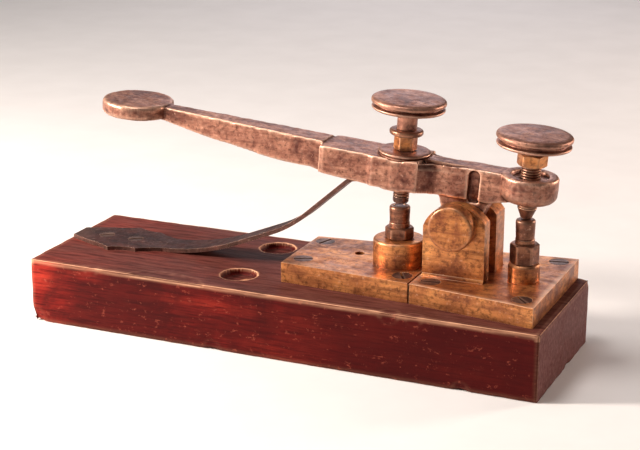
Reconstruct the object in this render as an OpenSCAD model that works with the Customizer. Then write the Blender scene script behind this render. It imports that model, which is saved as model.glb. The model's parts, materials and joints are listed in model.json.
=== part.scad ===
// Early lever telegraph key: brass works on a mahogany block.
// The origin is the middle of the block's underside. +X points to the stop screw,
// the finger knob is at -X, and +Z is up. All sizes are in millimetres.

/* [Base block] */
// Length of the block
base_l = 171; // [160:1:185]
// Width of the block
base_w = 54.6; // [54:0.2:62]
// Height of the block
base_h = 21; // [19:0.5:26]
// Diameter of the two round terminal seats
seat_d = 11.6; // [8:0.2:12]
// Depth of the terminal seats
seat_depth = 2.2; // [1:0.1:4]

/* [Plates] */
// Thickness of both brass plates
plate_t = 6.35; // [5.6:0.05:7]
// Gap between the two plates, which keeps them electrically apart
seam_gap = 0.6; // [0.4:0.1:1]
// Diameter of the wire hole in the front plate
wire_hole_d = 3.2; // [2:0.1:4]

/* [Yoke] */
// Height of the pivot above the plates
pivot_rise = 16.95; // [16.5:0.05:17.5]
// Width of each cheek along the key
cheek_w = 19.6; // [18:0.2:20]
// Height of the cheeks at the crown of the arch
cheek_h = 23.3; // [22:0.1:23.5]
// Radius of the cheeks' arch
arch_r = 11; // [10.8:0.2:14]
// Thickness of the front cheek
front_cheek_t = 4.7; // [4:0.1:5]
// Thickness of the rear cheek
rear_cheek_t = 8; // [7:0.1:8.4]
// Diameter of the pivot screws' heads
pivot_head_d = 14; // [9:0.2:14]
// Length of the pivot screws' heads
pivot_head_l = 5; // [4:0.1:8]

/* [Lever] */
// Resting tilt of the lever, stop end down, in degrees
lever_tilt = 4; // [3.8:0.1:4.2]
// Diameter of the finger knob
knob_d = 23; // [18:0.5:26]
// Thickness of the finger knob
knob_t = 4.7; // [3.6:0.1:5]
// Distance from the pivot to the middle of the knob
knob_reach = 113; // [110:0.5:116]
// Distance from the pivot to the contact screw
contact_reach = 20.5; // [20:0.1:21]
// Distance from the pivot to the stop screw
stop_reach = 19.5; // [19:0.1:20]

/* [Screws] */
// Diameter of the contact screw
contact_screw_d = 5; // [4.4:0.1:5.2]
// Diameter of the stop screw
stop_screw_d = 6; // [5.6:0.1:6]
// Diameter of the thumb heads
head_d = 23; // [18:0.2:24]
// Rest gap between the contact screw and the button under it
contact_gap = 0.77; // [0.6:0.01:1]

/* [Spring] */
// Thickness of the leaf spring
spring_t = 1.3; // [1:0.1:1.5]
// Width of the spring's blade where it leaves the foot
blade_root_w = 10.6; // [9:0.2:14]
// Width of the spring's blade at the lever
blade_end_w = 9; // [7:0.1:11]
// Slope of the blade's straight stretch, in degrees
blade_slope = 41.7; // [41:0.1:42]

/* [Hidden] */
$fn = 64;

// Clearances
run = 0.05;    // radial gap of a pin or screw in its hole
seat = 0.02;   // gap of a pressed or clamped piece
cut = 1;       // how far a cutting solid stands out of the piece

// Colours
mahogany = "#6e2320";
plate_brass = "#b98a52";
bronze = "#9c6f58";
dark_brass = "#8a5c3c";
steel = "#57483f";

// Plates, in plan
plate_top = base_h + plate_t;
front_x0 = -2;
seam_x = 41;
rear_x0 = seam_x + seam_gap;
rear_x1 = 82;
front_plate_outline = [[front_x0, -14.3], [seam_x, -17], [seam_x, 20.5], [front_x0, 15]];
rear_plate_outline = [[rear_x0, -17.1], [rear_x1, -22.9], [rear_x1, 26.6], [rear_x0, 21.5]];
wire_hole_at = [17, 4];

// Countersunk wood screws
wood_head_d = 6.2;
wood_head_h = 2.2;
wood_shank_d = 3;
wood_screw_l = 15;
front_plate_screws = [[2.8, -8], [2.2, 11], [37, -10.8], [37, 15]];
rear_plate_screws = [[46.8, -12.6], [46.8, 17], [76.8, -17], [77, 21.5]];

// Terminal seats in the block
seats_at = [[-17, -13.5], [-17, 15.8]];

// Yoke
pivot_x = 52.3;
pivot_z = plate_top + pivot_rise;
cheek_x = 52.15;
cheek_y = 3.3;
cheek_fillet = 1;
arch_dx = 0.6;
cheek_screw_d = 2.6;
cheek_screw_head_d = 4.6;
cheek_screw_head_h = 1.6;
cheek_screw_l = plate_t + 6;
cheek_screw_dx = 6;
pivot_shank_d = 5;
journal_d = 3.2;
journal_l = 2.1;

// Lever hub
hub_half = 3;
hub_r = 5.6;
axle_d = 6;
pin_d = 1.6;

// Heights on the lever, above the pivot along the lever's own upright
rough_top = 16.9;
section_top = 17.4;
section_bottom = 7.6;
front_boss_r = 8.2;
front_boss_z = [6.9, 16.4];
rear_boss_r = 8.6;
rear_boss_z = [9.5, 17.7];
rear_recess = [5.6, 1.2];
bush_d = 9;
bush_flange = [[7.6, 16.4, 17.2], [8.1, 17.2, 18.4]];
knob_z = 19;

// Contact screw
contact_end = 1.4;
contact_tip_l = 2.2;
contact_nut_z = 18.5;
contact_nut = [7.4, 4.5];
contact_collar_z = 23.1;
contact_collar_size = [10.4, 1.8];
contact_neck_d = 6.2;
contact_head_z = 30.3;
contact_head_t = 4.8;

// Stop screw
stop_end = 4;
stop_tip_l = 3.6;
stop_tip_d = 3.3;
stop_nut_z = 20.6;
stop_nut = [9.4, 3.7];
stop_neck_d = 7.4;
stop_head_z = 25.9;
stop_head_t = 5.1;
spigot_d = 1.8;
spigot_l = 1.2;

// Anvils
front_anvil_x = pivot_x - contact_reach;
rear_anvil_x = pivot_x + stop_reach * cos(lever_tilt) + stop_end * sin(lever_tilt);
front_anvil_size = [16.2, 8.45];
front_anvil_nut_size = [9.2, 3.6];
front_post_d = 6.5;
rear_anvil_size = [9.6, 5.75];
rear_anvil_nut_size = [9.2, 6.1];
rear_post_d = 6;
stud_d = 5;
button_d = 4;
button_t = 1;
stop_gap = 0.03;
contact_low = pivot_z + (contact_reach - contact_screw_d / 2) * sin(lever_tilt)
    + contact_end * cos(lever_tilt);
front_post_top = contact_low - contact_gap;
stop_low = pivot_z - (stop_reach + stop_tip_d / 2) * sin(lever_tilt)
    + stop_end * cos(lever_tilt);
rear_post_top = stop_low - stop_gap;

// Leaf spring: flat foot, rising bend, straight blade, and a pad under the lever
spring_y = 2.2;
foot_tip_x = -84.5;
blade_root_x = -50;
bend_start_x = -51.75;
soft_bend = [75, 22.5];     // radius, and the slope that it ends at
soft_run = 13;
tight_bend_r = 42.5;
knee_r = 6;
pad_l = 4;
underside = [[-46, 8.2], [-28, 7.3]];
pad_slope = -lever_tilt - atan((underside[0][1] - underside[1][1]) / (underside[1][0] - underside[0][0]));
pad_gap = 0.15;
spring_screw_xs = [-74, -63];
spring_screw_l = 10;

// ---- Shared shapes ----

// Places its children in the lever's own frame: pivot at the origin, arm along -X
module on_lever() {
    translate([pivot_x, 0, pivot_z]) rotate([0, lever_tilt, 0]) children();
}

module at_contact(z) {
    on_lever() translate([-contact_reach, 0, z]) children();
}

module at_stop(z) {
    on_lever() translate([stop_reach, 0, z]) children();
}

// A straight cylinder along +Y
module rod_y(d, y0, y1) {
    translate([0, y0, 0]) rotate([-90, 0, 0]) cylinder(d = d, h = y1 - y0);
}

module hexagon(across_corners, h, hole_d) {
    difference() {
        cylinder(d = across_corners, h = h, $fn = 6);
        translate([0, 0, -cut]) cylinder(d = hole_d, h = h + 2 * cut);
    }
}

// A countersunk slotted screw hanging down from its head at z = 0
module slotted_screw(head_d, head_h, shank_d, length, slot_angle = 0) {
    difference() {
        union() {
            translate([0, 0, -head_h]) cylinder(d1 = shank_d, d2 = head_d, h = head_h);
            translate([0, 0, -length]) cylinder(d = shank_d, h = length - head_h + seat);
        }
        rotate([0, 0, slot_angle])
            translate([-head_d / 2 - cut, -0.45, -0.9]) cube([head_d + 2 * cut, 0.9, 0.9 + cut]);
    }
}

// The hole that such a screw sits in
module screw_hole(head_d, head_h, shank_d, length) {
    translate([0, 0, -head_h - seat])
        cylinder(d1 = shank_d + 2 * run, d2 = head_d + 2 * run, h = head_h + seat);
    translate([0, 0, -length - 0.3]) cylinder(d = shank_d + 2 * run, h = length);
    cylinder(d = head_d + 2 * run, h = cut);
}

module wood_screw(slot_angle = 0) {
    slotted_screw(wood_head_d, wood_head_h, wood_shank_d, wood_screw_l, slot_angle);
}

module wood_screw_hole() {
    screw_hole(wood_head_d, wood_head_h, wood_shank_d, wood_screw_l);
}

// Grooved thumb head: two flanges with a waist between them and a crowned top
module thumb_head(t) {
    r = head_d / 2;
    bevel = 0.5;
    crown = 0.75;
    rim = t - crown;
    waist = r - 1.7;
    rotate_extrude() polygon(concat(
        [[0, 0], [r - 3, 0], [r - 0.2, 0.9], [r - 0.2, 1.5], [waist, 1.7],
            [waist, rim - 1.6], [r, rim - 1.4], [r, rim - bevel]],
        [for (i = [8 : -1 : 0]) let (x = (r - bevel) * i / 8) [x, t - crown * pow(x / (r - bevel), 2)]]
    ));
}

// Points of a shallow curve from p to q that bows by sag to the left of the line
function bow(p, q, sag, steps = 8) = [
    for (i = [0 : steps])
        let (t = i / steps, d = q - p, n = [-d[1], d[0]] / norm(d))
        p + d * t + n * sag * 4 * t * (1 - t)
];

// ---- Base ----

module base_block() {
    color(mahogany) difference() {
        translate([-base_l / 2, -base_w / 2, 0]) cube([base_l, base_w, base_h]);
        for (at = seats_at)
            translate([at[0], at[1], base_h - seat_depth]) cylinder(d = seat_d, h = seat_depth + cut);
        for (at = concat(front_plate_screws, rear_plate_screws))
            translate([at[0], at[1], plate_top - wood_screw_l - 0.3])
                cylinder(d = wood_shank_d + 2 * run, h = wood_screw_l);
        for (x = spring_screw_xs)
            translate([x, spring_y, base_h + spring_t - spring_screw_l - 0.3])
                cylinder(d = wood_shank_d + 2 * run, h = spring_screw_l);
    }
}

module plate(outline, screws) {
    difference() {
        translate([0, 0, base_h]) linear_extrude(plate_t) polygon(outline);
        for (at = screws) translate([at[0], at[1], plate_top]) wood_screw_hole();
        children();
    }
}

// A plain vertical hole through a plate
module plate_hole(at, d) {
    translate([at[0], at[1], base_h - cut]) cylinder(d = d, h = plate_t + 2 * cut);
}

module front_plate() {
    color(plate_brass) plate(front_plate_outline, front_plate_screws) {
        plate_hole(wire_hole_at, wire_hole_d);
        plate_hole([front_anvil_x, 0], stud_d + 2 * run);
    }
}

module rear_plate() {
    color(plate_brass) plate(rear_plate_outline, rear_plate_screws) {
        plate_hole([rear_anvil_x, 0], stud_d + 2 * run);
        at_cheek_screws() screw_hole(cheek_screw_head_d, cheek_screw_head_h, cheek_screw_d, cheek_screw_l);
    }
}

module plate_screws() {
    color(steel) for (i = [0 : 3]) {
        translate([front_plate_screws[i][0], front_plate_screws[i][1], plate_top])
            wood_screw(25 + 47 * i);
        translate([rear_plate_screws[i][0], rear_plate_screws[i][1], plate_top])
            wood_screw(10 + 61 * i);
    }
}

// ---- Yoke ----

// Head end of each cheek screw, under the rear plate, pointing up into the cheek
module at_cheek_screws() {
    cheek_middles = [-cheek_y - front_cheek_t / 2, cheek_y + rear_cheek_t / 2];
    for (y = cheek_middles, dx = [-cheek_screw_dx, cheek_screw_dx])
        translate([cheek_x + dx, y, base_h]) mirror([0, 0, 1]) children();
}

// Arched outline of a cheek, upright, with its foot at the origin's height
module cheek_outline() {
    intersection() {
        translate([-cheek_w / 2, 0]) square([cheek_w, cheek_h]);
        union() {
            translate([arch_dx, cheek_h - arch_r]) circle(r = arch_r, $fn = 128);
            translate([-cheek_w / 2, 0]) square([cheek_w, cheek_h - arch_r]);
        }
    }
}

// A cheek whose inner side is at y = 0 and whose outer side, with a filleted foot, is at -Y
module cheek(thickness) {
    f = cheek_fillet;
    translate([cheek_x, 0, plate_top]) {
        rotate([90, 0, 0]) linear_extrude(thickness) cheek_outline();
        translate([cheek_w / 2, -thickness, 0]) rotate([90, 0, -90]) linear_extrude(cheek_w)
            polygon(concat([[0, 0], [f, 0]], bow([f, 0.1], [0.1, f], 0.2, 4), [[0, f]]));
    }
}

// The holes in both cheeks for the pivot screws and the cheek screws
module cheek_holes() {
    translate([pivot_x, 0, pivot_z]) rod_y(pivot_shank_d + 2 * run, -20, 20);
    at_cheek_screws() screw_hole(cheek_screw_head_d, cheek_screw_head_h, cheek_screw_d, cheek_screw_l);
}

module front_cheek() {
    color(plate_brass) difference() {
        translate([0, -cheek_y, 0]) cheek(front_cheek_t);
        cheek_holes();
    }
}

module rear_cheek() {
    color(plate_brass) difference() {
        mirror([0, 1, 0]) translate([0, -cheek_y, 0]) cheek(rear_cheek_t);
        cheek_holes();
    }
}

module cheek_screws() {
    color(steel) at_cheek_screws()
        slotted_screw(cheek_screw_head_d, cheek_screw_head_h, cheek_screw_d, cheek_screw_l);
}

// A pivot screw along +Y: chamfered head below y = 0, then shank and journal
module pivot_screw(shank_l) {
    bevel = 0.8;
    rod_y(pivot_head_d, -pivot_head_l + bevel, -seat);
    translate([0, -pivot_head_l, 0]) rotate([-90, 0, 0])
        cylinder(d1 = pivot_head_d - 2 * bevel, d2 = pivot_head_d, h = bevel);
    rod_y(pivot_shank_d, -seat, shank_l);
    rod_y(journal_d, shank_l, shank_l + journal_l);
}

module front_pivot_screw() {
    color(plate_brass) translate([pivot_x, -cheek_y - front_cheek_t, pivot_z])
        pivot_screw(front_cheek_t);
}

module rear_pivot_screw() {
    color(plate_brass) translate([pivot_x, cheek_y + rear_cheek_t, pivot_z])
        mirror([0, 1, 0]) pivot_screw(rear_cheek_t);
}

// ---- Anvils ----

// A round anvil with its stud hole and a bevelled top edge
module anvil(x, size) {
    bevel = 0.5;
    translate([x, 0, plate_top]) difference() {
        union() {
            cylinder(d = size[0], h = size[1] - bevel);
            translate([0, 0, size[1] - bevel])
                cylinder(d1 = size[0], d2 = size[0] - 2 * bevel, h = bevel);
        }
        translate([0, 0, -cut]) cylinder(d = stud_d + 2 * run, h = size[1] + 2 * cut);
    }
}

module anvil_nut(x, size, anvil_h, turn) {
    translate([x, 0, plate_top + anvil_h]) rotate([0, 0, turn])
        hexagon(size[0], size[1], stud_d + 2 * run);
}

// A post above the nut with its stud running down through the nut, the anvil and the plate
module post(x, d, foot, top) {
    bevel = 0.4;
    translate([x, 0, 0]) {
        translate([0, 0, base_h + 0.4]) cylinder(d = stud_d, h = foot - base_h);
        translate([0, 0, foot]) cylinder(d = d, h = top - foot - bevel);
        translate([0, 0, top - bevel]) cylinder(d1 = d, d2 = d - 2 * bevel, h = bevel);
    }
}

module front_anvil() {
    color(plate_brass) anvil(front_anvil_x, front_anvil_size);
}

module front_anvil_nut() {
    color(dark_brass) anvil_nut(front_anvil_x, front_anvil_nut_size, front_anvil_size[1], 15);
}

module front_post() {
    foot = plate_top + front_anvil_size[1] + front_anvil_nut_size[1];
    color(dark_brass) difference() {
        post(front_anvil_x, front_post_d, foot, front_post_top);
        translate([front_anvil_x, 0, front_post_top - button_t])
            cylinder(d = button_d + 2 * seat, h = button_t + cut);
    }
}

module front_contact() {
    color(steel) translate([front_anvil_x, 0, front_post_top - button_t])
        cylinder(d = button_d, h = button_t);
}

module rear_anvil() {
    color(plate_brass) anvil(rear_anvil_x, rear_anvil_size);
}

module rear_anvil_nut() {
    color(dark_brass) anvil_nut(rear_anvil_x, rear_anvil_nut_size, rear_anvil_size[1], 15);
}

module rear_post() {
    foot = plate_top + rear_anvil_size[1] + rear_anvil_nut_size[1];
    color(dark_brass) post(rear_anvil_x, rear_post_d, foot, rear_post_top);
}

// ---- Leaf spring ----

// An arc from start whose slope turns from a0 to a1 degrees
function bend(start, r, a0, a1, steps = 8) =
    let (turn = sign(a1 - a0))
    [for (i = [0 : steps]) let (a = a0 + (a1 - a0) * i / steps)
        start + turn * r * [sin(a) - sin(a0), cos(a0) - cos(a)]];

// Height of the lever's underside above the blade
function underside_z(x) =
    let (u = underside[0], t = lever_tilt)
    pivot_z - u[0] * sin(t) + u[1] * cos(t) + tan(pad_slope) * (x - pivot_x - u[0] * cos(t) - u[1] * sin(t));

// Centre line of the blade in the X-Z plane. The straight stretch is as long as it must be
// for the pad to lie just under the lever.
function blade_line() =
    let (z0 = base_h + spring_t / 2,
        soft = bend([bend_start_x, z0], soft_bend[0], 0, soft_bend[1]),
        soft_end = soft[8] + soft_run * [cos(soft_bend[1]), sin(soft_bend[1])],
        tight = bend(soft_end, tight_bend_r, soft_bend[1], blade_slope),
        knee_step = knee_r * [sin(blade_slope) - sin(pad_slope), cos(pad_slope) - cos(blade_slope)],
        below = (pad_gap + spring_t / 2) / cos(pad_slope),
        rise = underside_z(tight[8][0] + knee_step[0]) - below - tight[8][1] - knee_step[1],
        straight = rise / (sin(blade_slope) - tan(pad_slope) * cos(blade_slope)),
        knee = bend(tight[8] + straight * [cos(blade_slope), sin(blade_slope)],
            knee_r, blade_slope, pad_slope))
    concat([[spring_screw_xs[1], z0]], soft, tight, knee,
        [knee[8] + pad_l * [cos(pad_slope), sin(pad_slope)]]);

// A line of points thickened by half on each side
function ribbon(line, half) =
    let (n = len(line) - 1,
        normals = [for (i = [0 : n])
            let (d = line[min(i + 1, n)] - line[max(i - 1, 0)]) [-d[1], d[0]] / norm(d)])
    concat([for (i = [0 : n]) line[i] + normals[i] * half],
        [for (i = [n : -1 : 0]) line[i] - normals[i] * half]);

// One long edge of the foot: a narrow tip, then two cusps with hollows between them
function foot_edge(side) = [
    for (p = concat(
        [[foot_tip_x, 4.2]],
        bow([-75.5, 8], [-67.4, 11.4], -0.4),
        bow([-67.4, 11.4], [-58.2, 9.2], -0.9),
        bow([-58.2, 9.2], [blade_root_x, blade_root_w / 2], -0.5)))
    [p[0], spring_y + side * p[1]]
];

// Plan of the blade, which narrows towards the lever
module blade_plan() {
    root = blade_root_w / 2;
    end = blade_end_w / 2;
    end_x = 30;
    translate([0, spring_y]) polygon([[spring_screw_xs[1] - cut, -root], [blade_root_x, -root],
        [end_x, -end], [end_x, end], [blade_root_x, root], [spring_screw_xs[1] - cut, root]]);
}

function reversed(list) = [for (i = [len(list) - 1 : -1 : 0]) list[i]];

module leaf_spring() {
    color(bronze) difference() {
        union() {
            translate([0, 0, base_h]) linear_extrude(spring_t)
                polygon(concat(foot_edge(-1), reversed(foot_edge(1))));
            intersection() {
                translate([0, 20, 0]) rotate([90, 0, 0])
                    linear_extrude(40) polygon(ribbon(blade_line(), spring_t / 2));
                linear_extrude(80) blade_plan();
            }
        }
        for (x = spring_screw_xs) translate([x, spring_y, base_h + spring_t])
            screw_hole(wood_head_d - 1, spring_t - 0.3, wood_shank_d, spring_screw_l);
    }
}

module spring_screws() {
    color(steel) for (x = spring_screw_xs) translate([x, spring_y, base_h + spring_t])
        slotted_screw(wood_head_d - 1, spring_t - 0.3, wood_shank_d, spring_screw_l, 35);
}

// ---- Lever ----

// Keeps what lies inside both a side view and a plan view
module cast(side_view, plan_view) {
    intersection() {
        translate([0, 20, 0]) rotate([90, 0, 0]) linear_extrude(40) polygon(side_view);
        linear_extrude(40) polygon(plan_view);
    }
}

// A plan outline that is the same on both sides of the lever, from [x, half width] points
function both_sides(half) =
    concat([for (p = half) [p[0], -p[1]]], reversed(half));

module lever_arm() {
    cast(
        concat([[-104, 18.4], [-46, 17.5]], [[-46, 7.7]],
            bow([-50, 8.6], [-72, 9.9], 0.6), [[-87, 11.4], [-104, 14.2]]),
        both_sides([[-104, 2.8], [-88, 3.1], [-70, 3.9], [-50, 4.5], [-46, 4.6]]));
}

module rough_section() {
    cast(
        [[-46, rough_top], [-20, rough_top], [-20, underside[1][1]], underside[1], underside[0]],
        both_sides([[-46, 6.9], [-44.5, 7.4], [-30, 7.4], [-28, 8], [-20, 8]]));
}

module pivot_section() {
    cast(
        [[-20, rough_top], [-13, section_top], [19, section_top], [19, 10.2],
            [11.5, section_bottom + 0.6], [9, section_bottom], [-20, section_bottom]],
        both_sides([[-20, 8], [-13.5, 8], [-8.5, 5.2], [6, 4.2], [19, 4.2]]));
}

module hub() {
    width = 2 * hub_half;
    translate([0, hub_half, 0]) rotate([90, 0, 0]) linear_extrude(width) {
        circle(r = hub_r);
        polygon([[-hub_r, 0], [hub_r, 0], [9, section_bottom + cut], [-8, section_bottom + cut]]);
    }
}

module finger_knob() {
    r = knob_d / 2;
    edge = 1.1;
    translate([-knob_reach, 0, knob_z - knob_t]) rotate_extrude()
        polygon(concat([[0, 0]],
            [for (a = [-90 : 15 : 0]) [r - edge + edge * cos(a), edge + edge * sin(a)]],
            [for (a = [0 : 15 : 90]) [r - edge + edge * cos(a), knob_t - edge + edge * sin(a)]],
            [[0, knob_t]]));
}

module front_boss() {
    translate([-contact_reach, 0, front_boss_z[0]])
        cylinder(r = front_boss_r, h = front_boss_z[1] - front_boss_z[0]);
}

module rear_boss() {
    round_r = 3;
    h = rear_boss_z[1] - rear_boss_z[0];
    translate([stop_reach, 0, rear_boss_z[0]]) rotate_extrude()
        polygon(concat([[0, 0]],
            [for (a = [-90 : 15 : 0])
                [rear_boss_r - round_r + round_r * cos(a), round_r + round_r * sin(a)]],
            [[rear_boss_r, h - 0.5], [rear_boss_r - 0.5, h], [0, h]]));
}

// Upright groove in the near face of the pivot section
module face_groove() {
    groove_w = 3.4;
    groove_x = 3.4;
    groove_top = 16.9;
    floor_y = -2;
    arch_z = groove_top - groove_w / 2;
    translate([groove_x, -10, arch_z]) rotate([-90, 0, 0]) cylinder(d = groove_w, h = 10 + floor_y);
    translate([groove_x - groove_w / 2, -10, section_bottom - cut])
        cube([groove_w, 10 + floor_y, arch_z - section_bottom + cut]);
}

module lever() {
    color(bronze) on_lever() difference() {
        union() {
            finger_knob();
            lever_arm();
            rough_section();
            pivot_section();
            hub();
            front_boss();
            rear_boss();
        }
        face_groove();
        rod_y(axle_d + 2 * seat, -hub_half - cut, hub_half + cut);
        translate([0, 0, -hub_r - cut]) cylinder(d = pin_d + 2 * seat, h = hub_r + section_bottom);
        translate([-contact_reach, 0, front_boss_z[0] - cut])
            cylinder(d = bush_d + 2 * seat, h = 12);
        translate([-contact_reach, 0, front_boss_z[1]])
            cylinder(r = bush_flange[1][0] + 0.15, h = section_top - front_boss_z[1] + cut);
        translate([stop_reach, 0, rear_boss_z[0] - cut])
            cylinder(d = stop_screw_d + 2 * run, h = 12);
        translate([stop_reach, 0, rear_boss_z[1] - rear_recess[1]])
            cylinder(r = rear_recess[0], h = rear_recess[1] + cut);
    }
}

module pivot_axle() {
    end = hub_half - 0.05;
    bore_from = cheek_y - journal_l - 0.3;
    color(steel) on_lever() difference() {
        rod_y(axle_d, -end, end);
        rod_y(journal_d + 2 * run, -end - cut, -bore_from);
        rod_y(journal_d + 2 * run, bore_from, end + cut);
        translate([0, 0, -axle_d]) cylinder(d = pin_d + 2 * seat, h = 2 * axle_d);
    }
}

module axle_pin() {
    color(steel) on_lever()
        translate([0, 0, -hub_r + 0.2]) cylinder(d = pin_d, h = hub_r + section_bottom - 1.4);
}

module contact_bush() {
    color(bronze) on_lever() translate([-contact_reach, 0, 0]) difference() {
        union() {
            translate([0, 0, front_boss_z[0]])
                cylinder(d = bush_d, h = front_boss_z[1] - front_boss_z[0] + 0.2);
            for (step = bush_flange)
                translate([0, 0, step[1] + seat]) cylinder(r = step[0], h = step[2] - step[1]);
        }
        cylinder(d = contact_screw_d + 2 * run, h = 30);
    }
}

// ---- Contact screw ----

module contact_tip() {
    color(steel) at_contact(contact_end) {
        cylinder(d = contact_screw_d, h = contact_tip_l);
        cylinder(d = spigot_d, h = contact_tip_l + spigot_l);
    }
}

// Plain shank with a socket for the tip's spigot
module shank(d, z0, z1) {
    translate([0, 0, z0]) difference() {
        cylinder(d = d, h = z1 - z0);
        translate([0, 0, -cut]) cylinder(d = spigot_d + 2 * run, h = spigot_l + 0.1 + cut);
    }
}

module contact_screw() {
    color(dark_brass) at_contact(0)
        shank(contact_screw_d, contact_end + contact_tip_l + seat, contact_head_z + 1);
}

module contact_collar() {
    color(dark_brass) at_contact(contact_collar_z) difference() {
        cylinder(d = contact_collar_size[0], h = contact_collar_size[1]);
        translate([0, 0, -cut])
            cylinder(d = contact_screw_d + 2 * seat, h = contact_collar_size[1] + 2 * cut);
    }
}

// Neck and thumb head with a blind hole for the screw's upper end
module headpiece(neck_z, neck_d, head_z, head_t, screw_d) {
    difference() {
        union() {
            translate([0, 0, neck_z]) cylinder(d = neck_d, h = head_z - neck_z + 0.1);
            translate([0, 0, head_z]) thumb_head(head_t);
        }
        translate([0, 0, neck_z - cut]) cylinder(d = screw_d + 2 * seat, h = head_z - neck_z + cut + 1.1);
    }
}

module contact_head() {
    color(bronze) at_contact(0)
        headpiece(contact_collar_z + contact_collar_size[1] + seat, contact_neck_d,
            contact_head_z, contact_head_t, contact_screw_d);
}

module contact_lock_nut() {
    color(plate_brass) at_contact(contact_nut_z) rotate([0, 0, 20])
        hexagon(contact_nut[0], contact_nut[1], contact_screw_d + 2 * run);
}

// ---- Stop screw ----

module stop_tip() {
    color(dark_brass) at_stop(stop_end) {
        cylinder(d1 = stop_tip_d, d2 = stop_screw_d, h = stop_tip_l);
        cylinder(d = spigot_d, h = stop_tip_l + spigot_l);
    }
}

module stop_screw() {
    color(dark_brass) at_stop(0)
        shank(stop_screw_d, stop_end + stop_tip_l + seat, stop_head_z + 1);
}

module stop_head() {
    color(bronze) at_stop(0)
        headpiece(stop_nut_z + stop_nut[1] + 0.2, stop_neck_d, stop_head_z, stop_head_t, stop_screw_d);
}

module stop_lock_nut() {
    color(plate_brass) at_stop(stop_nut_z) rotate([0, 0, 10])
        hexagon(stop_nut[0], stop_nut[1], stop_screw_d + 2 * run);
}

base_block();
front_plate();
rear_plate();
plate_screws();
front_cheek();
rear_cheek();
cheek_screws();
front_pivot_screw();
rear_pivot_screw();
front_anvil();
front_anvil_nut();
front_post();
front_contact();
rear_anvil();
rear_anvil_nut();
rear_post();
leaf_spring();
spring_screws();
lever();
pivot_axle();
axle_pin();
contact_bush();
contact_tip();
contact_screw();
contact_collar();
contact_head();
contact_lock_nut();
stop_tip();
stop_screw();
stop_head();
stop_lock_nut();
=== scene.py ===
import json
import math

import bmesh
import bpy
from mathutils import Matrix, Vector, noise


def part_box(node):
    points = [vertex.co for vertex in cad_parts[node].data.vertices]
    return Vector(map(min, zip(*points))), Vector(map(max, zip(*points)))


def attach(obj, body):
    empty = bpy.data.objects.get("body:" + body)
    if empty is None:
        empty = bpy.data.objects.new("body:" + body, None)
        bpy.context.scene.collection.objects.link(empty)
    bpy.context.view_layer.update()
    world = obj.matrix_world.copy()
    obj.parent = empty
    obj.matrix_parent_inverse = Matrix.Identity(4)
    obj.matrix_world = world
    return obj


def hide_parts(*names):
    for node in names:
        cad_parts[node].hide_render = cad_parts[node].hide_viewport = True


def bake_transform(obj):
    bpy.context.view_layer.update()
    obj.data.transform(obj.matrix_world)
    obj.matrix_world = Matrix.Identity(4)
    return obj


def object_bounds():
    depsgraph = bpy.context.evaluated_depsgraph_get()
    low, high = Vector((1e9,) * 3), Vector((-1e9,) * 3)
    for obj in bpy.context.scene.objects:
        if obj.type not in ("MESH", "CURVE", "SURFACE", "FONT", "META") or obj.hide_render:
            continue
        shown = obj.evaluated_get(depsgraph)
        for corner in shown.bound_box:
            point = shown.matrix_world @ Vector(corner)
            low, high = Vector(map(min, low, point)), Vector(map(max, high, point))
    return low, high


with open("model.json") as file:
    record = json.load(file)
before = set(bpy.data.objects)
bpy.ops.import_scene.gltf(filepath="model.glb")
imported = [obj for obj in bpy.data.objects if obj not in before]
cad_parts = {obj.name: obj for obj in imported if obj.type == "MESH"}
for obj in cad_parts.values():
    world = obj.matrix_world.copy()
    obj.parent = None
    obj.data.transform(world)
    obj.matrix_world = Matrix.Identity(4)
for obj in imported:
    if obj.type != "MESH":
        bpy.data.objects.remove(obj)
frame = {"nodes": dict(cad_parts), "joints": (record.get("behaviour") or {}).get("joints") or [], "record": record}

# Looks of an early lever telegraph key: tarnished brass works on a worn mahogany block.
# Everything is in metres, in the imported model's frame. Small sizes are written as N * MM,
# and the profiles of turned pieces are in millimetres until softened() scales them.
MM = 0.001
CAD_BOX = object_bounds()
RECORD = frame["record"]
JOINTS = {joint["name"]: joint for joint in frame["joints"]}
BODY_OF = {n: body for body, names in RECORD["behaviour"]["bodies"].items() for n in names}
SLOT_OF = {part["node"]: part["material_slot"] for part in RECORD["subparts"]}
UP = Vector((0, 0, 1))
PIVOT = Vector(JOINTS["lever_pivot"]["pos_m"])
LEVER_UP = Vector(JOINTS["contact_screw_feed"]["axis"]).normalized()
SEGMENTS = 96


# ---- Camera, light and floor ----

def add_camera():
    """The view from the near right, slightly above, with a long lens."""
    azimuth, elevation, roll = math.radians(23.46), math.radians(17.33), math.radians(0.19)
    target = Vector((5.0, 0, 36.3)) * MM
    distance = 539.4 * MM
    back = Vector((math.sin(azimuth) * math.cos(elevation),
                   -math.cos(azimuth) * math.cos(elevation), math.sin(elevation)))
    data = bpy.data.cameras.new("camera")
    data.lens = 96.2
    data.sensor_width = 36
    data.clip_start = 0.01
    camera = bpy.data.objects.new("camera", data)
    bpy.context.scene.collection.objects.link(camera)
    turn = (-back).to_track_quat("-Z", "Y").to_matrix() @ Matrix.Rotation(roll, 3, "Z")
    camera.matrix_world = Matrix.Translation(target + back * distance) @ turn.to_4x4()
    bpy.context.scene.camera = camera


def add_light(name, place, aim, size, watts, colour):
    data = bpy.data.lights.new(name, "AREA")
    data.shape = "DISK"
    data.size = size
    data.energy = watts
    data.color = colour
    light = bpy.data.objects.new(name, data)
    bpy.context.scene.collection.objects.link(light)
    place, aim = Vector(place), Vector(aim)
    turn = (aim - place).to_track_quat("-Z", "Y").to_matrix()
    light.matrix_world = Matrix.Translation(place) @ turn.to_4x4()


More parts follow.
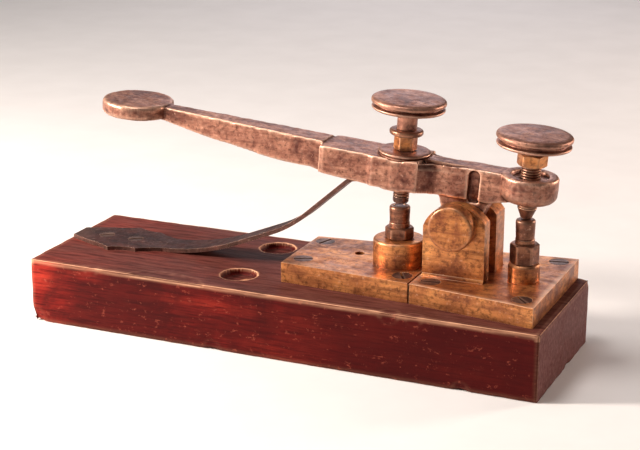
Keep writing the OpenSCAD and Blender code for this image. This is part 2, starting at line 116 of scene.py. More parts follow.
def add_world():
    """A studio that lights from the upper left, with a plain pale backdrop."""
    world = bpy.data.worlds.new("studio")
    world.use_nodes = True
    tree = world.node_tree
    background = tree.nodes["Background"]
    background.inputs["Strength"].default_value = 1.0
    place = tree.nodes.new("ShaderNodeTexCoord")
    facing = tree.nodes.new("ShaderNodeVectorMath")
    facing.operation = "DOT_PRODUCT"
    facing.inputs[1].default_value = Vector((-0.80, -0.30, 0.50)).normalized()
    shades = tree.nodes.new("ShaderNodeMapRange")
    shades.inputs["From Min"].default_value = -0.4
    shades.inputs["From Max"].default_value = 1.0
    shades.inputs["To Min"].default_value = 0.01
    shades.inputs["To Max"].default_value = 0.26
    tree.links.new(place.outputs["Generated"], facing.inputs[0])
    tree.links.new(facing.outputs["Value"], shades.inputs["Value"])
    seen = tree.nodes.new("ShaderNodeLightPath")
    shown = tree.nodes.new("ShaderNodeMix")
    shown.inputs["B"].default_value = 0.72
    tree.links.new(seen.outputs["Is Camera Ray"], shown.inputs["Factor"])
    tree.links.new(shades.outputs["Result"], shown.inputs["A"])
    tree.links.new(shown.outputs["Result"], background.inputs["Color"])
    bpy.context.scene.world = world
    bpy.context.scene.view_settings.view_transform = "Standard"


def add_floor():
    mesh = bpy.data.meshes.new("floor")
    half = 3.0
    mesh.from_pydata([(-half, -half, 0), (half, -half, 0), (half, half, 0), (-half, half, 0)],
                     [], [(0, 1, 2, 3)])
    floor = bpy.data.objects.new("floor", mesh)
    bpy.context.scene.collection.objects.link(floor)
    floor.location.z = CAD_BOX[0].z - 0.05 * MM
    paper = Paint("pale_paper", roughness=0.9)
    grain = paper.noise(scale=40, detail=3)
    paper.set("Base Color", paper.ramp(grain, [(0.3, (0.86, 0.85, 0.84)), (0.7, (0.90, 0.89, 0.88))]))
    mesh.materials.append(paper.material)


# ---- Materials ----

class Paint:
    """A small helper that builds one procedural material, in object coordinates."""

    def __init__(self, name, **constants):
        self.material = bpy.data.materials.new(name)
        self.material.use_nodes = True
        self.tree = self.material.node_tree
        self.shader = self.tree.nodes["Principled BSDF"]
        for socket, value in constants.items():
            label = socket.replace("_", " ").title().replace("Ior", "IOR")
            self.shader.inputs[label].default_value = value
        self.place = self.node("ShaderNodeTexCoord").outputs["Object"]

    def node(self, kind, **settings):
        made = self.tree.nodes.new(kind)
        for key, value in settings.items():
            setattr(made, key, value)
        return made

    def link(self, source, socket):
        self.tree.links.new(source, socket)

    def stretched(self, scale):
        """Object coordinates scaled along each axis."""
        mapping = self.node("ShaderNodeMapping")
        mapping.inputs["Scale"].default_value = scale
        self.link(self.place, mapping.inputs["Vector"])
        return mapping.outputs["Vector"]

    def noise(self, scale, detail, rough=0.55, warp=0.0, place=None):
        made = self.node("ShaderNodeTexNoise")
        made.inputs["Scale"].default_value = scale
        made.inputs["Detail"].default_value = detail
        made.inputs["Roughness"].default_value = rough
        made.inputs["Distortion"].default_value = warp
        self.link(place or self.place, made.inputs["Vector"])
        return made.outputs["Fac"]

    def ramp(self, value, stops):
        """A value turned into a colour or a grey level through a row of stops."""
        made = self.node("ShaderNodeValToRGB")
        band = made.color_ramp
        while len(band.elements) < len(stops):
            band.elements.new(0.5)
        for element, (at, colour) in zip(band.elements, stops):
            element.position = at
            if isinstance(colour, (int, float)):
                colour = (colour, colour, colour)
            element.color = (*colour, 1)
        self.link(value, made.inputs["Fac"])
        return made.outputs["Color"]

    def mix(self, amount, a, b):
        made = self.node("ShaderNodeMix", data_type="RGBA", blend_type="MIX")
        for label, value in (("Factor", amount), ("A", a), ("B", b)):
            socket = made.inputs[label]
            if isinstance(value, (int, float)):
                socket.default_value = value
            elif isinstance(value, tuple):
                socket.default_value = (*value, 1)
            else:
                self.link(value, socket)
        return made.outputs["Result"]

    def math(self, operation, a, b):
        made = self.node("ShaderNodeMath", operation=operation, use_clamp=True)
        for socket, value in zip(made.inputs, (a, b)):
            if isinstance(value, (int, float)):
                socket.default_value = value
            else:
                self.link(value, socket)
        return made.outputs["Value"]

    def fade_x(self, start, end, most):
        """A value that grows along X, from 0 at start to most at end."""
        place = self.node("ShaderNodeSeparateXYZ")
        self.link(self.place, place.inputs["Vector"])
        fade = self.node("ShaderNodeMapRange")
        fade.inputs["From Min"].default_value = start
        fade.inputs["From Max"].default_value = end
        fade.inputs["To Max"].default_value = most
        self.link(place.outputs["X"], fade.inputs["Value"])
        return fade.outputs["Result"]

    def attribute(self, name):
        return self.node("ShaderNodeAttribute", attribute_name=name).outputs["Fac"]

    def set(self, socket, source):
        self.link(source, self.shader.inputs[socket])

    def bump(self, height, strength, depth):
        """Adds one more layer of bump on top of the ones already there."""
        made = self.node("ShaderNodeBump")
        made.inputs["Strength"].default_value = strength
        made.inputs["Distance"].default_value = depth
        self.link(height, made.inputs["Height"])
        before = self.shader.inputs["Normal"].links
        if before:
            self.link(before[0].from_socket, made.inputs["Normal"])
        self.link(made.outputs["Normal"], self.shader.inputs["Normal"])


def metal(name, clean, mellow, tarnish, edge, roughness=(0.3, 0.55), casting=0.0, blotch=95):
    """Old unlacquered brass: clean, mellow and tarnished patches, pale edges from wear and a painted edge
    highlight, and painted shade in the corners.
    """
    paint = Paint(name, metallic=0.72)
    patches = paint.noise(scale=blotch, detail=7, rough=0.62, warp=0.4)
    streaks = paint.noise(scale=1, detail=5, rough=0.65, place=paint.stretched((60, 260, 700)))
    specks = paint.noise(scale=blotch * 7, detail=5, rough=0.7)
    colour = paint.ramp(patches, [(0.34, tarnish), (0.47, mellow), (0.66, clean)])
    colour = paint.mix(paint.ramp(streaks, [(0.36, 0.7), (0.56, 0.0)]), colour, tarnish)
    colour = paint.mix(paint.ramp(specks, [(0.36, 0.75), (0.5, 0.0)]), colour,
                       tuple(c * 0.6 for c in tarnish))
    colour = paint.mix(paint.ramp(specks, [(0.6, 0.0), (0.72, 0.45)]), colour, edge)
    # Edges take the pale edge colour: worn brass, with a painted highlight along them.
    colour = paint.mix(paint.math("MULTIPLY", paint.attribute("edge"), 0.85), colour, edge)
    # Painted shade: hollows and corners are darkened almost to black.
    hollow_shade = paint.math("MULTIPLY", paint.attribute("hollow"), 0.8)
    colour = paint.mix(hollow_shade, colour, tuple(c * 0.2 for c in tarnish))
    paint.set("Base Color", colour)
    low, high = roughness
    scuffs = paint.noise(scale=blotch * 3, detail=6, rough=0.7)
    paint.set("Roughness", paint.ramp(scuffs, [(0.35, low), (0.7, high)]))
    fine = paint.noise(scale=2600, detail=3)
    paint.bump(fine, 0.25, 0.02 * MM)
    paint.bump(specks, 0.4, 0.06 * MM)
    if casting:
        pits = paint.noise(scale=420, detail=5, rough=0.6)
        paint.bump(pits, casting, 0.3 * MM)
    return paint.material


def wood():
    """Mahogany under an old red varnish, open-pored along X, pale at the edges from wear and a painted edge
    highlight.
    """
    paint = Paint("mahogany", specular_ior_level=0.08)
    figure = paint.noise(scale=1, detail=6, rough=0.6, warp=0.8, place=paint.stretched((16, 70, 95)))
    fibres = paint.noise(scale=1, detail=5, rough=0.7, place=paint.stretched((70, 700, 1100)))
    flecks = paint.noise(scale=1, detail=4, rough=0.7, place=paint.stretched((420, 900, 620)))
    grime = paint.noise(scale=24, detail=6, rough=0.65, warp=0.5)
    colour = paint.ramp(figure, [(0.32, (0.11, 0.008, 0.006)), (0.48, (0.30, 0.018, 0.012)),
                                 (0.70, (0.52, 0.045, 0.025))])
    colour = paint.mix(paint.ramp(fibres, [(0.38, 0.8), (0.55, 0.0)]), colour, (0.045, 0.003, 0.003))
    colour = paint.mix(paint.ramp(grime, [(0.40, 0.75), (0.58, 0.0)]), colour, (0.035, 0.005, 0.005))
    # Painted shade: the block grows darker towards +X, the end away from the key light.
    colour = paint.mix(paint.fade_x(-80 * MM, 25 * MM, 0.92), colour, (0.050, 0.003, 0.003))
    colour = paint.mix(paint.ramp(flecks, [(0.60, 0.0), (0.72, 0.5)]), colour, (0.45, 0.10, 0.06))
    # The upward faces get a duller, browner colour.
    top_face_colour = paint.ramp(fibres, [(0.35, (0.055, 0.014, 0.011)), (0.62, (0.16, 0.060, 0.048))])
    colour = paint.mix(paint.math("MULTIPLY", paint.attribute("upper"), 0.7), colour, top_face_colour)
    end_colour = paint.ramp(flecks, [(0.35, (0.10, 0.034, 0.032)), (0.55, (0.17, 0.066, 0.060)),
                                     (0.7, (0.25, 0.115, 0.105))])
    colour = paint.mix(paint.attribute("end_grain"), colour, end_colour)
    # Painted shade: hollows are darkened almost to black.
    hollow_shade = paint.math("MULTIPLY", paint.attribute("hollow"), 0.6)
    colour = paint.mix(hollow_shade, colour, (0.012, 0.002, 0.002))
    # Pale edge colour: worn edges, with a painted highlight along them.
    worn = paint.math("MULTIPLY", paint.attribute("edge"), paint.ramp(fibres, [(0.3, 0.35), (0.6, 1.0)]))
    colour = paint.mix(worn, colour, (0.92, 0.50, 0.30))
    # Pale raw-wood colour in the near bore: bare wood, painted as lit on the side the light falls on.
    lit_bore_patch = paint.mix(paint.ramp(flecks, [(0.4, 1.0), (0.7, 0.0)]),
                     (0.62, 0.33, 0.19), (0.34, 0.13, 0.07))
    colour = paint.mix(paint.attribute("lit_bore_patch"), colour, lit_bore_patch)
    paint.set("Base Color", colour)
    paint.set("Roughness", paint.ramp(figure, [(0.3, 0.5), (0.7, 0.66)]))
    paint.bump(fibres, 0.4, 0.10 * MM)
    paint.bump(flecks, 0.4, 0.10 * MM)
    return paint.material


MATERIALS = {
    "mahogany": wood(),
    "plate_brass": metal("plate_brass", (0.80, 0.34, 0.105), (0.56, 0.205, 0.065), (0.20, 0.055, 0.024),
                         (0.95, 0.60, 0.38)),
    "bronze": metal("bronze", (0.56, 0.27, 0.175), (0.36, 0.15, 0.098), (0.12, 0.036, 0.026),
                    (0.98, 0.62, 0.45), roughness=(0.34, 0.58), casting=0.4, blotch=120),
    "spring_brass": metal("spring_brass", (0.15, 0.050, 0.040), (0.085, 0.026, 0.021),
                          (0.03, 0.010, 0.009), (0.90, 0.56, 0.42), roughness=(0.4, 0.65), blotch=140),
    "dark_brass": metal("dark_brass", (0.42, 0.17, 0.085), (0.22, 0.08, 0.045), (0.07, 0.02, 0.015),
                        (0.88, 0.54, 0.36)),
    "dark_steel": metal("dark_steel", (0.16, 0.08, 0.06), (0.09, 0.04, 0.03), (0.035, 0.013, 0.011),
                        (0.55, 0.33, 0.25), blotch=300),
}


# ---- Mesh helpers ----

def span(node, origin, axis):
    """Lowest and highest point of a CAD node along an axis."""
    heights = [(vertex.co - origin).dot(axis) for vertex in frame["nodes"][node].data.vertices]
    return min(heights), max(heights)


def upright(origin, axis):
    """A placement with Z along the axis.

    Its Y is as near the frame's Y as it can be, or the frame's X where the axis lies along Y."""
    side = Vector((0, 1, 0)) if abs(axis.y) < 0.5 else Vector((1, 0, 0))
    x = side.cross(axis).normalized()
    y = axis.cross(x)
    matrix = Matrix((x, y, axis)).transposed().to_4x4()
    matrix.translation = origin
    return matrix


def point_values(mesh, *names):
    """New number attributes on a mesh's points. All are made before any is handed back."""
    for name in names:
        mesh.attributes.new(name, "FLOAT", "POINT")
    return [mesh.attributes[name] for name in names]


def mark_surface(mesh, radius):
    """Stores how far each point stands out ("edge") or lies in a corner ("hollow").

    radius is the rounding, in metres, at which a point counts as fully one or the other."""
    bm = bmesh.new()
    bm.from_mesh(mesh)
    bm.normal_update()
    bend = [0.0] * len(bm.verts)
    area = [1e-12] * len(bm.verts)
    for face in bm.faces:
        share = face.calc_area() / len(face.verts)
        for vertex in face.verts:
            area[vertex.index] += share
    for edge in bm.edges:
        if len(edge.link_faces) == 2:
            turn = edge.calc_face_angle_signed(0.0) * edge.calc_length() / 4
            for vertex in edge.verts:
                bend[vertex.index] += turn
    bm.free()
    edges, hollows = point_values(mesh, "edge", "hollow")
    for i, (b, a) in enumerate(zip(bend, area)):
        level = b / a * radius
        edges.data[i].value = min(max(level, 0.0), 1.0)
        hollows.data[i].value = min(max(-level, 0.0), 1.0)


def finished(obj, nodes, mark_radius=0.5 * MM):
    """Marks edges (wear and painted highlight) and hollows (painted shade), paints the piece and puts it on the
    body of the CAD nodes it stands for.
    """
    mark_surface(obj.data, mark_radius)
    slot = SLOT_OF[nodes[0]]
    obj.data.materials.clear()
    obj.data.materials.append(MATERIALS[slot])
    for face in obj.data.polygons:
        face.material_index = 0
    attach(obj, BODY_OF[nodes[0]])
    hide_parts(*nodes)


def link_mesh(name, mesh):
    obj = bpy.data.objects.new(name, mesh)
    bpy.context.scene.collection.objects.link(obj)
    return obj


def apply_modifiers(obj):
    bpy.context.view_layer.update()
    graph = bpy.context.evaluated_depsgraph_get()
    mesh = bpy.data.meshes.new_from_object(obj.evaluated_get(graph))
    obj.modifiers.clear()
    obj.data = mesh
    return obj


def clean_copy(node, name):
    """A copy of a CAD node's mesh with its flat faces whole again."""
    bm = bmesh.new()
    bm.from_mesh(frame["nodes"][node].data)
    bmesh.ops.remove_doubles(bm, verts=bm.verts, dist=0.001 * MM)
    bmesh.ops.dissolve_limit(bm, angle_limit=math.radians(0.4), verts=bm.verts, edges=bm.edges)
    mesh = bpy.data.meshes.new(name)
    bm.to_mesh(mesh)
    bm.free()
    return link_mesh(name, mesh)


def rounded_mesh(node, width, segments=3, slices=None):
    """A copy of a CAD node with its sharp edges rounded."""
    obj = clean_copy(node, node + "_worn")
    if slices:
        slice_mesh(obj.data, *slices)
    bevel = obj.modifiers.new("bevel", "BEVEL")
    bevel.width = width
    bevel.segments = segments
    bevel.limit_method = "ANGLE"
    bevel.angle_limit = math.radians(35)
    bevel.miter_outer = "MITER_ARC"
    obj.modifiers.new("normals", "WEIGHTED_NORMAL").keep_sharp = True
    for face in obj.data.polygons:
        face.use_smooth = True
    return apply_modifiers(obj)


def rounded(node, width, segments=3):
    finished(rounded_mesh(node, width, segments), [node])


def slice_mesh(mesh, start, end, count):
    """Cuts a mesh across X at even steps."""
    bm = bmesh.new()
    bm.from_mesh(mesh)
    for i in range(count + 1):
        x = start + (end - start) * i / count
        everything = bm.verts[:] + bm.edges[:] + bm.faces[:]
        bmesh.ops.bisect_plane(bm, geom=everything, plane_co=(x, 0, 0), plane_no=(1, 0, 0))
    bm.to_mesh(mesh)
    bm.free()


def remeshed(node, voxel, smooth):
    """A copy of a CAD node as an even mesh with softened edges, ready for dents."""
    obj = clean_copy(node, node + "_cast")
    remesh = obj.modifiers.new("remesh", "REMESH")
    remesh.mode = "VOXEL"
    remesh.voxel_size = voxel
    remesh.use_smooth_shade = True
    relax = obj.modifiers.new("relax", "SMOOTH")
    relax.factor = 0.5
    relax.iterations = smooth
    return apply_modifiers(obj)


def dent(obj, depth_at):
    """Moves each vertex inwards along its normal by depth_at(point, normal)."""
    mesh = obj.data
    normals = [v.normal.copy() for v in mesh.vertices]
    for vertex, normal in zip(mesh.vertices, normals):
        vertex.co = vertex.co - normal * depth_at(vertex.co, normal)
    mesh.update()


def turned(name, rings, place, segments, tube):
    """A solid of revolution. Each ring is (radius, height) or a function of the angle.

    A tube's last ring joins its first, and any other solid is capped at both ends."""
    vertices, faces = [], []
    for ring in rings:
        for i in range(segments):
            angle = math.tau * i / segments
            radius, height = ring(angle) if callable(ring) else ring
            vertices.append((radius * math.cos(angle), radius * math.sin(angle), height))
    pairs = [(k, k + 1) for k in range(len(rings) - 1)]
    if tube:
        pairs.append((len(rings) - 1, 0))
    for low, high in pairs:
        for i in range(segments):
            j = (i + 1) % segments
            faces.append((low * segments + i, low * segments + j,
                          high * segments + j, high * segments + i))
    if not tube:
        faces.append(tuple(reversed(range(segments))))
        last = (len(rings) - 1) * segments
        faces.append(tuple(range(last, last + segments)))
    mesh = bpy.data.meshes.new(name)
    mesh.from_pydata(vertices, [], faces)
    mesh.transform(place)
    for face in mesh.polygons:
        face.use_smooth = True
    mesh.set_sharp_from_angle(angle=math.radians(40))
    return link_mesh(name, mesh)


def softened(profile):
    """A profile whose corners are rounded. Each point is (radius, height[, rounding]), in mm."""
    steps = 4
    points = []
    for i, (r, z, *rounding) in enumerate(profile):
        corner = Vector((r, z)) * MM
        if not rounding or i in (0, len(profile) - 1):
            points.append(corner)
            continue
        before = Vector(profile[i - 1][:2]) * MM - corner
        after = Vector(profile[i + 1][:2]) * MM - corner
        reach_in = min(rounding[0] * MM, before.length * 0.49)
        reach_out = min(rounding[0] * MM, after.length * 0.49)
        start = corner + before.normalized() * reach_in
        end = corner + after.normalized() * reach_out
        for k in range(steps + 1):
            t = k / steps
            points.append(start * (1 - t) ** 2 + corner * 2 * t * (1 - t) + end * t * t)
    return [tuple(point) for point in points]


def piece(node, rings, base, axis=UP, segments=SEGMENTS, tube=False):
    """A turned piece that takes a CAD node's place, with its profile starting at base."""
    obj = turned(node + "_turned", rings, upright(base, axis), segments, tube)
    finished(obj, [node], mark_radius=0.3 * MM)


def nut_rings(across_corners, height, bore, turn):
    """Rings of a hexagonal nut with chamfered ends and slightly worn corners, in mm."""
    worn = 0.03
    corner = across_corners / 2
    flat = corner * math.cos(math.pi / 6)

    def hexagon(angle):
        across = math.fmod(angle - math.radians(turn) + 4 * math.pi, math.pi / 3) - math.pi / 6
        return min(flat / math.cos(across), corner * (1 - worn))

    def drop(angle):
        return max(0.0, hexagon(angle) - flat * 0.97) * 0.6

    def ring(radius, level):
        return lambda angle: (radius(angle) * MM, level(angle) * MM)

    def round_limit(angle):
        return min(hexagon(angle), flat * 0.97)

    return [
        ring(round_limit, lambda angle: 0.0),
        ring(hexagon, lambda angle: drop(angle) + 0.03),
        ring(hexagon, lambda angle: height / 2),
        ring(hexagon, lambda angle: height - drop(angle) - 0.03),
        ring(round_limit, lambda angle: height),
        ring(lambda angle: bore / 2 + 0.15, lambda angle: height),
        ring(lambda angle: bore / 2, lambda angle: height - 0.2),
        ring(lambda angle: bore / 2, lambda angle: 0.2),
        ring(lambda angle: bore / 2 + 0.15, lambda angle: 0.0),
    ]


def thread_rings(radius, start, end):
    """Rings of a right-handed thread between two heights, in mm, with runouts at both ends."""
    pitch, depth, per_pitch = 0.8, 0.16, 5
    rings = []
    count = max(2, round((end - start) / pitch * per_pitch))
    for i in range(count + 1):
        z = start + (end - start) * i / count

        def ring(angle, z=z):
            phase = (z / pitch - angle / math.tau) % 1.0
            groove = 1 - abs(2 * phase - 1)
            fade = min(1.0, (z - start) / pitch, (end - z) / pitch)
            return (radius - depth * groove * max(fade, 0.0)) * MM, z * MM

        rings.append(ring)
    return rings


# ---- Wooden block ----

def seat_centres():
    return [Vector(m["pos_m"]) for m in RECORD["mounts"] if m["kind"] == "bore"]


def bowl(distance, radius):
    """1 in the middle of a dent and 0 at its rim, with a smooth slope between."""
    t = min(distance / radius, 1.0)
    return (1 - t * t) ** 2


# Knocks on the block's edges and corners: X, Y, Z, radius and depth, in mm
BLOCK_DENTS = [
    (-63, -27.3, 21, 3.0, 0.12), (39, -27.3, 21, 3.8, 0.3), (47, -27.3, 20.8, 3.2, 0.15),
    (-85.5, -27.3, 0, 5.5, 1.1), (85.5, -27.3, 21, 2.0, 0.2), (85.5, 27.3, 21, 2.8, 0.4),
    (12, 27.3, 21, 4.5, 0.2), (-58, 27.3, 21, 4.0, 0.15), (-85.5, 9, 21, 3.6, 0.2),
    (-20, -27.3, 0, 3.5, 0.4), (62, -27.3, 0, 3.0, 0.5), (85.5, 5, 0, 3.0, 0.4),
]


def wood_wear(block_low, block_high):
    """How deep the block is worn, dented and chipped at each point."""
    flake_start, flake_end, flake_width = -50 * MM, -23 * MM, 6.2 * MM
    flake_depth, flake_slope = 0.15 * MM, 2.2 * MM
    edge_depth, edge_radius = 0.10 * MM, 1.2 * MM
    dents = [(Vector((place[0], place[1], place[2])) * MM, radius * MM, deep * MM)
             for *place, radius, deep in BLOCK_DENTS]

    def depth(point, normal):
        gaps = sorted((block_high.x - abs(point.x), block_high.y - abs(point.y),
                       min(point.z - block_low.z, block_high.z - point.z)))
        edge_gap = math.hypot(gaps[0], gaps[1])
        rough = noise.noise(point / (4.5 * MM))
        total = 0.04 * MM * rough
        total += edge_depth * (1 + rough) * bowl(edge_gap, edge_radius)
        for centre, radius, deep in dents:
            total += deep * bowl((point - centre).length, radius)
        along = (point.x - flake_start) / (flake_end - flake_start)
        if normal.z > 0.3 and 0 < along < 1:
            width = flake_width * math.sqrt(math.sin(math.pi * along))
            width += 1.1 * MM * noise.noise(point / (3 * MM))
            inside = (width - (point.y - block_low.y)) / flake_slope
            total += flake_depth * min(max(inside, 0.0), 1.0)
        return total

    return depth


def make_block():
    block = remeshed("base_block", 0.5 * MM, smooth=1)
    low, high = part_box("base_block")
    dent(block, wood_wear(Vector(low), Vector(high)))
    lit_bore_patch, end_grain, upper = point_values(block.data, "lit_bore_patch", "end_grain", "upper")
    # A patch on the right side of the near seat's bore takes a pale raw-wood colour: bare wood, with painted light
    # on the side the light falls on.
    near = min(seat_centres(), key=lambda centre: centre.y)
    patch_x, patch_y, patch_radius = 4.0 * MM, -0.4 * MM, 4.2 * MM
    patch_low, patch_high = high[2] - 2.6 * MM, high[2] - 0.2 * MM
    for vertex in block.data.vertices:
        end_grain.data[vertex.index].value = 1.0 if abs(vertex.normal.x) > 0.8 else 0.0
        upper.data[vertex.index].value = 1.0 if vertex.normal.z > 0.8 else 0.0
        offset = vertex.co - near
        in_lit_patch = math.hypot(offset.x - patch_x, offset.y - patch_y) < patch_radius
        if in_lit_patch and patch_low < vertex.co.z < patch_high:
            lit_bore_patch.data[vertex.index].value = 1.0
    finished(block, ["base_block"], mark_radius=1.2 * MM)
    # The lower edges take much less of the pale edge colour than the top ones, where it is wear and a painted
    # highlight.
    edges = block.data.attributes["edge"]
    top_edge_band = 2 * MM
    for vertex in block.data.vertices:
        if vertex.co.z < high[2] - top_edge_band:
            edges.data[vertex.index].value *= 0.2


# ---- Plates, yoke and wood screws ----

def make_plates():
    for node in ("front_plate", "rear_plate"):
        rounded(node, 0.35 * MM)
    for node in ("front_cheek", "rear_cheek"):
        rounded(node, 0.4 * MM)
    for node in ("plate_screws", "spring_screws"):
        rounded(node, 0.12 * MM, segments=2)


def pivot_screw_rings(head_l, shank_l):
    """A large head with a worn rim, then shank and journal."""
    head_r, shank_r, journal_r = 7, 2.5, 1.6
    shoulder = head_l + shank_l
    return softened([
        (0.3, 0.0), (head_r - 0.5, 0.12, 0.8), (head_r, 0.7, 0.6), (head_r, head_l - 0.4, 0.3),
        (head_r - 0.3, head_l - 0.04, 0.2), (shank_r, head_l, 0.1), (shank_r, shoulder, 0.1),
        (journal_r, shoulder + 0.05, 0.1), (journal_r, shoulder + 2.1, 0.3),
        (0.3, shoulder + 2.1)])


def make_pivot_screws():
    head_l = 5
    # end is 0 for the head at the low end of the node's box, and 1 for the high end
    for node, end, axis, shank_l in (
            ("front_pivot_screw", 0, Vector((0, 1, 0)), 4.7),
            ("rear_pivot_screw", 1, Vector((0, -1, 0)), 8.0)):
        base = PIVOT.copy()
        base.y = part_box(node)[end][1]
        piece(node, pivot_screw_rings(head_l, shank_l), base, axis)


# ---- Anvils and posts ----

def foot_of(node):
    """The middle of a CAD node's underside."""
    low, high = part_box(node)
    return Vector(((low[0] + high[0]) / 2, (low[1] + high[1]) / 2, low[2]))


def make_anvils():
    bore = 2.55
    for node, radius, height in (("front_anvil", 8.1, 8.45), ("rear_anvil", 4.8, 5.75)):
        rings = softened([
            (bore, 0), (radius - 0.1, 0, 0.1), (radius, 0.25, 0.2), (radius, height - 0.5, 0.5),
            (radius - 0.5, height, 0.4), (bore + 0.3, height, 0.2), (bore, height - 0.3)])
        piece(node, rings, foot_of(node), tube=True)
    piece("front_anvil_nut", nut_rings(9.2, 3.6, 5.1, turn=15), foot_of("front_anvil_nut"), tube=True)
    piece("rear_anvil_nut", nut_rings(9.2, 6.1, 5.1, turn=15), foot_of("rear_anvil_nut"), tube=True)


def post_rings(node, stud_l, radius, button_r):
    """Plain stud, a slightly spread foot and a rounded top, with a seat for a button if it has one."""
    height = (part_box(node)[1][2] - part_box(node)[0][2]) / MM
    rings = softened([(0.3, 0), (2.2, 0, 0.1), (2.5, 0.3, 0.1), (2.5, stud_l, 0.05),
                      (radius - 0.1, stud_l, 0.1), (radius, stud_l + 0.3, 0.2),
                      (radius - 0.05, stud_l + 1.4, 0.2), (radius - 0.18, stud_l + 1.6, 0.2),
                      (radius - 0.05, height - 2.4)])
    if button_r:
        rings += softened([(radius, height - 1.3, 0.2), (radius, height - 0.5, 0.5),
                           (radius - 0.5, height, 0.3), (button_r, height - 0.1, 0.1),
                           (button_r, height - 0.95, 0.05), (0.3, height - 0.95)])
    else:
        rings += softened([(radius, height - 1.3, 0.2), (radius, height - 0.5, 0.5),
                           (radius - 0.5, height, 0.5), (0.3, height)])
    return rings


def make_posts():
    for node, stud_l, radius, button_r in (
            ("front_post", 18.0, 3.25, 2.02),
            ("rear_post", 17.8, 3.0, None)):
        piece(node, post_rings(node, stud_l, radius, button_r), foot_of(node), segments=64)
    button = softened([(0.3, 0), (1.95, 0, 0.1), (2.0, 0.1), (2.0, 0.75, 0.3), (1.5, 0.96, 0.4),
                       (0.8, 0.8, 0.3), (0.3, 0.85)])
    piece("front_contact", button, foot_of("front_contact"), segments=48)


# ---- Lever and what it carries ----

def cast_wear(point, _normal):
    """Gentle waves and pits of an old casting, and a broad worn shoulder by the pivot."""
    offset = point - PIVOT
    up = offset.dot(LEVER_UP)
    along = offset.x
    depth = 0.10 * MM * noise.noise(point / (5 * MM)) + 0.07 * MM * noise.noise(point / (1.7 * MM))
    hub_top, arm_low, arm_top = 6.5 * MM, 14 * MM, 17.4 * MM
    shoulder_start, shoulder_end = -12 * MM, 4 * MM
    if up < hub_top:
        return depth * 0.15
    if shoulder_start < along < shoulder_end and abs(point.y) > 3 * MM and up > arm_low:
        share = (shoulder_end - along) / (shoulder_end - shoulder_start)
        depth += 1.3 * MM * share * bowl(max(arm_top - up, 0.0), 2.4 * MM)
    return depth


def make_lever():
    lever = remeshed("lever", 0.36 * MM, smooth=7)
    dent(lever, cast_wear)
    finished(lever, ["lever"], mark_radius=0.9 * MM)


def axis_of(body):
    """A point on the axis of the contact screw or the stop screw."""
    joint = "contact_screw_turn" if body.startswith("contact") else "stop_screw_turn"
    return Vector(JOINTS[joint]["pos_m"])


def on_column(node, column=None):
    """The middle of a node's low end, and its length in mm, on the lever's upright column."""
    origin = axis_of(column or BODY_OF[node])
    low, high = span(node, origin, LEVER_UP)
    return origin + LEVER_UP * low, (high - low) / MM


def column_piece(node, rings, column=None, **options):
    base, _ = on_column(node, column)
    piece(node, rings, base, LEVER_UP, **options)


def head_rings(neck_r, neck_l, thickness, socket_r):
    """Neck with a socket for its screw, and a thumb head with a deep groove and a crowned top."""
    rim = 11.5
    top = neck_l + thickness
    rings = softened([
        (0.3, neck_l + 0.9), (socket_r, neck_l + 0.9, 0.1), (socket_r, 0.1, 0.1),
        (neck_r - 0.1, 0, 0.1), (neck_r, 0.2, 0.1), (neck_r, neck_l - 0.5, 0.4),
        (neck_r + 0.6, neck_l, 0.3), (rim - 3.4, neck_l + 0.05, 0.6),
        (rim - 0.5, neck_l + 0.75, 0.3), (rim - 0.25, neck_l + 1.1, 0.3),
        (rim - 0.3, neck_l + 1.5, 0.2), (rim - 1.7, neck_l + 1.75, 0.25),
        (rim - 1.7, top - 2.35, 0.25), (rim - 0.1, top - 2.1, 0.25), (rim, top - 1.5, 0.5),
        (rim - 0.2, top - 0.95, 0.35), (rim - 0.8, top - 0.62, 0.4)])
    for k in range(9, 0, -1):
        rings.append(((rim - 0.8) * k / 10 * MM, (top - 0.6 * (k / 10) ** 2) * MM))
    return rings + [(0.2 * MM, top * MM)]


def make_thumb_heads():
    for node, neck_r, socket_r, thickness in (
            ("contact_head", 3.1, 2.52, 4.8),
            ("stop_head", 3.7, 3.02, 5.1)):
        _, length = on_column(node)
        column_piece(node, head_rings(neck_r, length - thickness, thickness, socket_r))


def make_shanks():
    """The two threaded shanks, each with a small socket for its tip."""
    for node, radius in (("contact_screw", 2.5), ("stop_screw", 3.0)):
        _, length = on_column(node)
        rings = softened([(0.3, 1.25), (0.95, 1.25, 0.05), (0.95, 0.1, 0.1), (radius - 0.3, 0, 0.1),
                          (radius - 0.05, 0.25)])
        rings += thread_rings(radius, 0.3, length - 0.3)
        rings += softened([(radius - 0.1, length - 0.25), (radius - 0.3, length, 0.1), (0.3, length)])
        column_piece(node, rings, segments=48)


def make_tips():
    """A flat contact and a conical stop, each with a spigot up into its shank."""
    _, length = on_column("contact_tip")
    contact = softened([
        (0.3, 0.12), (1.6, 0, 0.4), (2.1, 0.1, 0.3), (2.45, 0.5, 0.3), (2.5, 2.15, 0.15),
        (0.9, 2.2, 0.05), (0.85, length - 0.1, 0.1), (0.3, length)])
    stop = softened([
        (0.3, 0), (1.2, 0.02, 0.3), (1.65, 0.25, 0.3), (2.95, 3.45, 0.2), (2.9, 3.6, 0.1),
        (0.9, 3.6, 0.05), (0.85, 4.7, 0.1), (0.3, 4.8)])
    column_piece("contact_tip", contact, segments=64)
    column_piece("stop_tip", stop, segments=64)


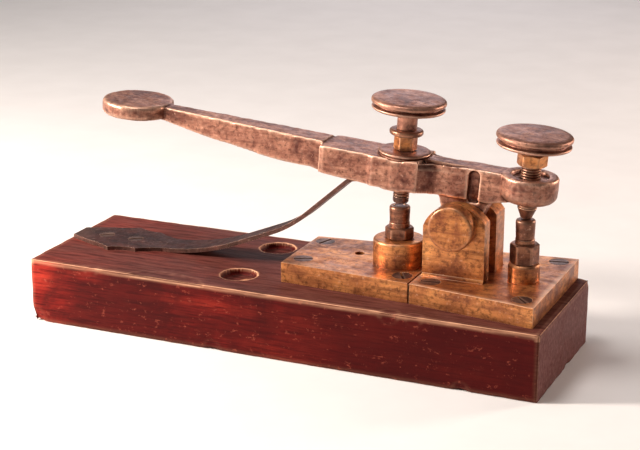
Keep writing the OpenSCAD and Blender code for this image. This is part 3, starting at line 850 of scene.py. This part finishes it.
def make_collar_nuts_and_bush():
    collar = softened([
        (2.54, 0.05), (4.6, 0, 0.3), (5.2, 0.35, 0.4), (5.2, 1.4, 0.4), (4.6, 1.8, 0.4),
        (2.7, 1.8, 0.2), (2.54, 1.65)])
    column_piece("contact_collar", collar, tube=True)
    column_piece("contact_lock_nut", nut_rings(7.4, 4.5, 5.1, turn=20), tube=True)
    column_piece("stop_lock_nut", nut_rings(9.4, 3.7, 6.1, turn=10), tube=True)
    bush = softened([
        (2.6, 0), (4.3, 0, 0.2), (4.5, 0.3, 0.2), (4.5, 9.52, 0.1), (7.4, 9.55, 0.2),
        (7.6, 9.8, 0.2), (7.5, 10.25, 0.25), (7.7, 10.45, 0.15), (8.1, 10.75, 0.3),
        (8.05, 11.2, 0.4), (7.2, 11.5, 0.6), (2.9, 11.52, 0.3), (2.6, 11.25)])
    column_piece("contact_bush", bush, column="contact_screw", tube=True)


# ---- Leaf spring ----

def make_spring():
    spring = rounded_mesh("leaf_spring", 0.28 * MM, slices=(-50 * MM, 22 * MM, 48))
    mark_surface(spring.data, 0.35 * MM)
    spring.data.materials.clear()
    spring.data.materials.append(MATERIALS["spring_brass"])
    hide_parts("leaf_spring")
    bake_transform(spring)


# ---- The order of making ----

add_camera()
add_world()
add_floor()
add_light("key_light", (-0.44, -0.25, 0.25), aim=(0, 0, 0.03),
          size=0.09, watts=5.4, colour=(1.0, 0.88, 0.78))
add_light("rim_light", (0.50, 0.45, 0.20), aim=(0.03, 0, 0.04),
          size=0.2, watts=2.6, colour=(1.0, 0.78, 0.66))
add_light("top_light", (-0.10, -0.12, 0.60), aim=(0.02, 0, 0.03),
          size=0.2, watts=1.6, colour=(1.0, 0.92, 0.88))
add_light("back_light", (-0.20, 0.68, 0.34), aim=(0.03, 0, 0.03),
          size=0.4, watts=0.7, colour=(0.96, 0.88, 0.94))
make_block()
make_plates()
make_pivot_screws()
make_anvils()
make_posts()
make_lever()
make_thumb_heads()
make_shanks()
make_tips()
make_collar_nuts_and_bush()
make_spring()
for kept in ("cheek_screws", "pivot_axle", "axle_pin"):
    frame["nodes"][kept].data.materials.clear()
    frame["nodes"][kept].data.materials.append(MATERIALS[SLOT_OF[kept]])
